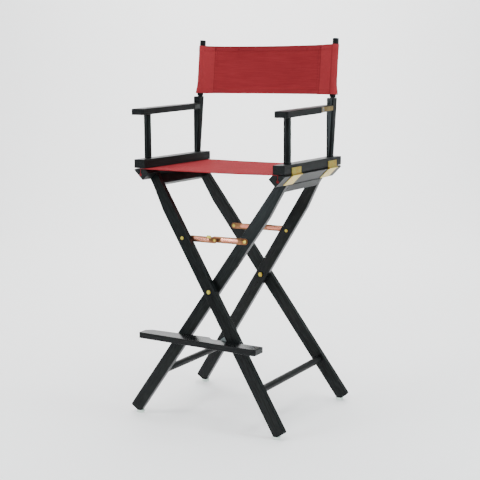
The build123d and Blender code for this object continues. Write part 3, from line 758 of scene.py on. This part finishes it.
# back from the rivet and out from the plate's edge
EAR_OUTLINE = (
    (28 * MM, -5 * MM), (13 * MM, -5 * MM), (13 * MM, 2.4 * MM), (15 * MM, 3.6 * MM),
    (26 * MM, 3.6 * MM), (28 * MM, 2.4 * MM),
)


def stay_mesh(name, rings, material):
    points, faces = [], []
    stack_rings(points, faces, rings)
    return make_mesh(name, points, faces, material, 50)


def stay(letter, place):
    joint = joints[f"stay_{letter}_{place}_pivot"]
    bolt = Vector(joint["pos_m"])
    out = Vector(joint["axis"]).normalized()
    if (out.y > 0) != (place == "rear"):
        out = -out
    toward = Vector((-1 if bolt.x > 0 else 1, 0, 0))
    toward = (toward - out * toward.dot(out)).normalized()
    wide = out.cross(toward)
    if wide.z < 0:
        wide = -wide
    length = abs(bolt.x) / abs(toward.x)
    faces_out = place == "front"

    def at(u, v, w):
        """A point u toward the rivet, v up the plate's width and w out through its thickness."""
        return bolt + toward * u + wide * v + out * (STAY_LEVEL[letter] + w)

    plate_rings = []
    for lift, trim in PLATE_SECTIONS:
        ring = slot_ring(0, length, STAY_HALF - trim, 96)
        plate_rings.append([at(u, v, lift * STAY_THICK) for u, v in ring])
    pieces = [stay_mesh(f"stay_plate_{letter}_{place}", plate_rings, bronze_steel)]
    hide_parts(f"stay_{letter}_{place}")
    if letter == "a":
        # the stop ear beside the rivet
        ear_rings = [
            [at(length - du, STAY_HALF + dv, w) for du, dv in EAR_OUTLINE]
            for w in (-EAR_PROUD, STAY_THICK + EAR_PROUD)
        ]
        pieces.append(stay_mesh(f"stay_ear_{place}", ear_rings, yellow_zinc))
    bead_high = BEAD_HIGH_TO_LEG if (letter == "a") == faces_out else BEAD_HIGH_TO_LINK
    bead_rings = []
    for i in range(BEAD_STEPS + 1):
        turn = math.pi / 2 * i / BEAD_STEPS
        half = BEAD_HALF * max(math.cos(turn), 0.02)
        rise = bead_high * math.sin(turn) - BEAD_SUNK
        w = STAY_THICK + rise if faces_out else -rise
        ring = slot_ring(BEAD_FROM_BOLT + BEAD_HALF, length - BEAD_FROM_RIVET - BEAD_HALF, half, 60)
        bead_rings.append([at(u, v, w) for u, v in ring])
    # the bead is the same steel as its plate; its lighter material is a painted highlight
    pieces.append(stay_mesh(f"stay_bead_{letter}_{place}", bead_rings, bead_highlight_steel))
    for piece in pieces:
        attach(piece, f"stay_{letter}_{place}")


for letter in "ab":
    for place in ("front", "rear"):
        stay(letter, place)


# ---- screw heads ----
HEAD_POINTS = 24
# share of the radius and of the height, from under the rim up to the recess
HEAD_PROFILE = ((1.0, -0.3), (1.0, 0.15), (0.86, 0.6), (0.55, 0.92))
CROSS_TIP, CROSS_WAIST = 0.46, 0.16
CROSS_LIFT, CROSS_DEPTH = 0.95, 0.9
LEAF_LENGTH = 60 * MM
LEAF_PROUD = 1.6 * MM
SLOPE_PROUD = 0.95 * MM
# along a leaf from its middle, and down from its top edge or from the knuckle
ARM_LEAF_SCREWS = ((-20 * MM, 7 * MM), (0, 12 * MM), (20 * MM, 7 * MM))
RAIL_LEAF_SCREWS = (
    (-20 * MM, 13 * MM), (20 * MM, 13 * MM), (0, 24 * MM), (-20 * MM, 35 * MM), (20 * MM, 35 * MM),
)
BRACKET_SCREW_IN = 9 * MM


def screw_head(points, faces, centre, out, radius=3.0 * MM, height=0.7 * MM):
    """A domed head with a cross recess."""
    out = Vector(out).normalized()
    side = out.orthogonal().normalized()
    over = out.cross(side)

    def add_ring(reaches, lift):
        start = len(points)
        for k, reach in enumerate(reaches):
            a = 2 * math.pi * k / HEAD_POINTS
            spoke = side * math.cos(a) + over * math.sin(a)
            points.append(centre + spoke * radius * reach + out * height * lift)
        return start

    cross = [CROSS_TIP if k % 6 in (5, 0, 1) else CROSS_WAIST for k in range(HEAD_POINTS)]
    starts = [add_ring([share] * HEAD_POINTS, lift) for share, lift in HEAD_PROFILE]
    starts.append(add_ring(cross, CROSS_LIFT))
    starts.append(add_ring(cross, CROSS_LIFT - CROSS_DEPTH))
    for first, second in zip(starts, starts[1:]):
        join_rings(faces, first, second, HEAD_POINTS)
    faces.append(tuple(range(starts[-1], starts[-1] + HEAD_POINTS)))
    faces.append(tuple(range(starts[0] + HEAD_POINTS - 1, starts[0] - 1, -1)))


def hinge_screws(side_name, sx):
    low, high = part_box(f"hinge_leaves_arm_{side_name}")
    leaf_middles = (low[1] + LEAF_LENGTH / 2, high[1] - LEAF_LENGTH / 2)
    base_low, base_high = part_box(f"arm_base_{side_name}")
    outer = max(abs(base_low[0]), abs(base_high[0])) + LEAF_PROUD
    points, faces = [], []
    for y in leaf_middles:
        for dy, down in ARM_LEAF_SCREWS:
            screw_head(points, faces, Vector((sx * outer, y + dy, high[2] - down)), (sx, 0, 0))
    upper = make_mesh(f"hinge_screws_arm_{side_name}", points, faces, yellow_zinc, 35)
    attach(upper, f"arm_{side_name}")
    points, faces = [], []
    knuckle = joints[f"arm_{side_name}_hinge"]["pos_m"]
    slope = Vector((-sx, 0, -1)).normalized()
    out = Vector((sx, 0, -1)).normalized()
    start = Vector((knuckle[0], 0, knuckle[2])) + out * SLOPE_PROUD
    for y in leaf_middles:
        for dy, run in RAIL_LEAF_SCREWS:
            centre = start + slope * run
            centre.y = y + dy
            screw_head(points, faces, centre, out)
    lower = make_mesh(f"hinge_screws_rail_{side_name}", points, faces, yellow_zinc, 35)
    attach(lower, LEG_FRAMES[side_name])


def bracket_screws(side_name, sx):
    low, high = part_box(f"arm_bracket_{side_name}")
    outer = max(abs(low[0]), abs(high[0])) - 0.2 * MM
    height = (low[2] + high[2]) / 2 - 0.4 * MM
    points, faces = [], []
    centre = Vector((sx * outer, low[1] + BRACKET_SCREW_IN, height))
    screw_head(points, faces, centre, (sx, 0, 0), radius=4.2 * MM, height=1.3 * MM)
    piece = make_mesh(f"bracket_screws_{side_name}", points, faces, grey_zinc, 35)
    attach(piece, f"arm_{side_name}")


for side_name, sx in SIDES:
    hinge_screws(side_name, sx)
    bracket_screws(side_name, sx)


# ---- floor and light ----
FLOOR_FRONT, FLOOR_RUN, FLOOR_HALF_WIDTH = -7, 3.2, 9
BEND_RADIUS, BEND_STEPS = 1.6, 24
WALL_TOP = 7
FLOOR_GLOW = 0.22
ROOM_COLOUR = (0.93, 0.98, 1.0, 1)
ROOM_STRENGTH, ROOM_BRIGHTER_BEHIND = 0.32, 0.16
WHITE = (1, 1, 1)
COOL = (0.80, 0.95, 1.0)
# name, place, aim, size, power, colour
LIGHTS = (
    ("overhead", (0, 0.2, 3.4), (0, 0, 0), (3.4, 3.4), 195, WHITE),
    ("key", (-2.2, -1.9, 2.5), (0, 0, 0.8), (0.9, 1.6), 45, WHITE),
    ("side", (2.9, 0.1, 1.5), (0, 0, 0.8), (0.8, 2.2), 60, COOL),
    ("front", (0.9, -3.6, 2.9), (0, 0, 0.9), (1.6, 1.0), 42, WHITE),
    ("wall", (-1.2, 2.4, 3.6), (-2.2, 4.2, 1.2), (3.0, 1.0), 230, WHITE),
    ("sheen", (-1.30, -2.85, 0.95), (0.17, -0.19, 0.66), (0.5, 0.5), 22, COOL),
)


def make_floor():
    """A pale floor that sweeps up into a wall behind the chair, square to the camera."""
    ahead = Vector((-math.sin(CAMERA_AZIMUTH), math.cos(CAMERA_AZIMUTH), 0))
    side = Vector((ahead.y, -ahead.x, 0))
    profile = [(FLOOR_FRONT, 0), (FLOOR_RUN, 0)]
    for k in range(1, BEND_STEPS + 1):
        a = math.pi / 2 * k / BEND_STEPS
        profile.append((FLOOR_RUN + BEND_RADIUS * math.sin(a), BEND_RADIUS * (1 - math.cos(a))))
    profile.append((FLOOR_RUN + BEND_RADIUS, WALL_TOP))
    points, faces = [], []
    for along, height in profile:
        for across in (-FLOOR_HALF_WIDTH, FLOOR_HALF_WIDTH):
            points.append(ahead * along + side * across + Vector((0, 0, height)))
    for k in range(len(profile) - 1):
        faces.append((2 * k, 2 * k + 1, 2 * k + 3, 2 * k + 2))
    material, tree, shader = new_material("floor")
    cloud = noise_value(tree, object_points(tree), scale=0.6, detail=2)
    colour = mix(tree, cloud, (0.90, 0.90, 0.90, 1), (0.94, 0.94, 0.94, 1))
    tree.links.new(colour, shader.inputs["Base Color"])
    shader.inputs["Roughness"].default_value = 0.95
    shader.inputs["Specular IOR Level"].default_value = 0.1
    shader.inputs["Emission Color"].default_value = (*WHITE, 1)
    shader.inputs["Emission Strength"].default_value = FLOOR_GLOW
    make_mesh("floor", points, faces, material, 60)


def make_world():
    """An even room, brighter behind the chair than in front of it."""
    world = bpy.data.worlds.new("studio")
    bpy.context.scene.world = world
    world.use_nodes = True
    tree = world.node_tree
    background = tree.nodes["Background"]
    background.inputs["Color"].default_value = ROOM_COLOUR
    coords = tree.nodes.new("ShaderNodeTexCoord")
    split = tree.nodes.new("ShaderNodeSeparateXYZ")
    tree.links.new(coords.outputs["Generated"], split.inputs[0])
    strength = math_node(
        tree, "MULTIPLY_ADD", split.outputs["Y"], ROOM_BRIGHTER_BEHIND, ROOM_STRENGTH
    )
    tree.links.new(strength, background.inputs["Strength"])


def soft_light(name, place, aim, size, power, colour):
    data = bpy.data.lights.new(name, "AREA")
    data.shape = "RECTANGLE"
    data.size, data.size_y = size
    data.energy = power
    data.color = colour
    light = bpy.data.objects.new(name, data)
    bpy.context.collection.objects.link(light)
    light.location = place
    light.rotation_euler = (Vector(aim) - Vector(place)).to_track_quat("-Z", "Y").to_euler()


make_floor()
make_world()
for light in LIGHTS:
    soft_light(*light)
